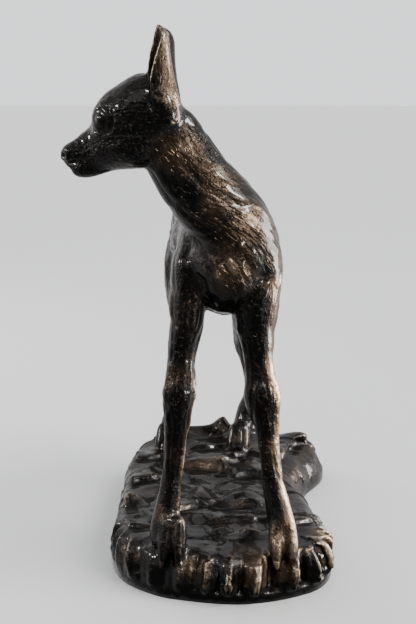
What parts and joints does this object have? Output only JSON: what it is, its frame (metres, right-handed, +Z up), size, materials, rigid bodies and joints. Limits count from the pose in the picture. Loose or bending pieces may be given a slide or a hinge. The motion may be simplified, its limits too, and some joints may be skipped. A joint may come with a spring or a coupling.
{
  "type": "fawn statue",
  "caption": "A young deer stands on a piece of rough ground, ears pricked and head turned to its right; cast in one, with a flat underside to stand on",
  "frame": {"origin": "on the flat underside of the ground, below the middle of the fawn's stance", "axes": "+Z is up; the fawn's body faces -Y and its head is turned to its own right, towards -X; its left side is +X"},
  "size_m": [0.3241, 0.4511, 0.6213],
  "materials": {
    "dark_bronze": "glossy dark brown patina, rubbed to copper on the ridges"
  },
  "bodies": {
    "root": {"fawn_on_ground": "dark_bronze"}
  },
  "joints": []
}
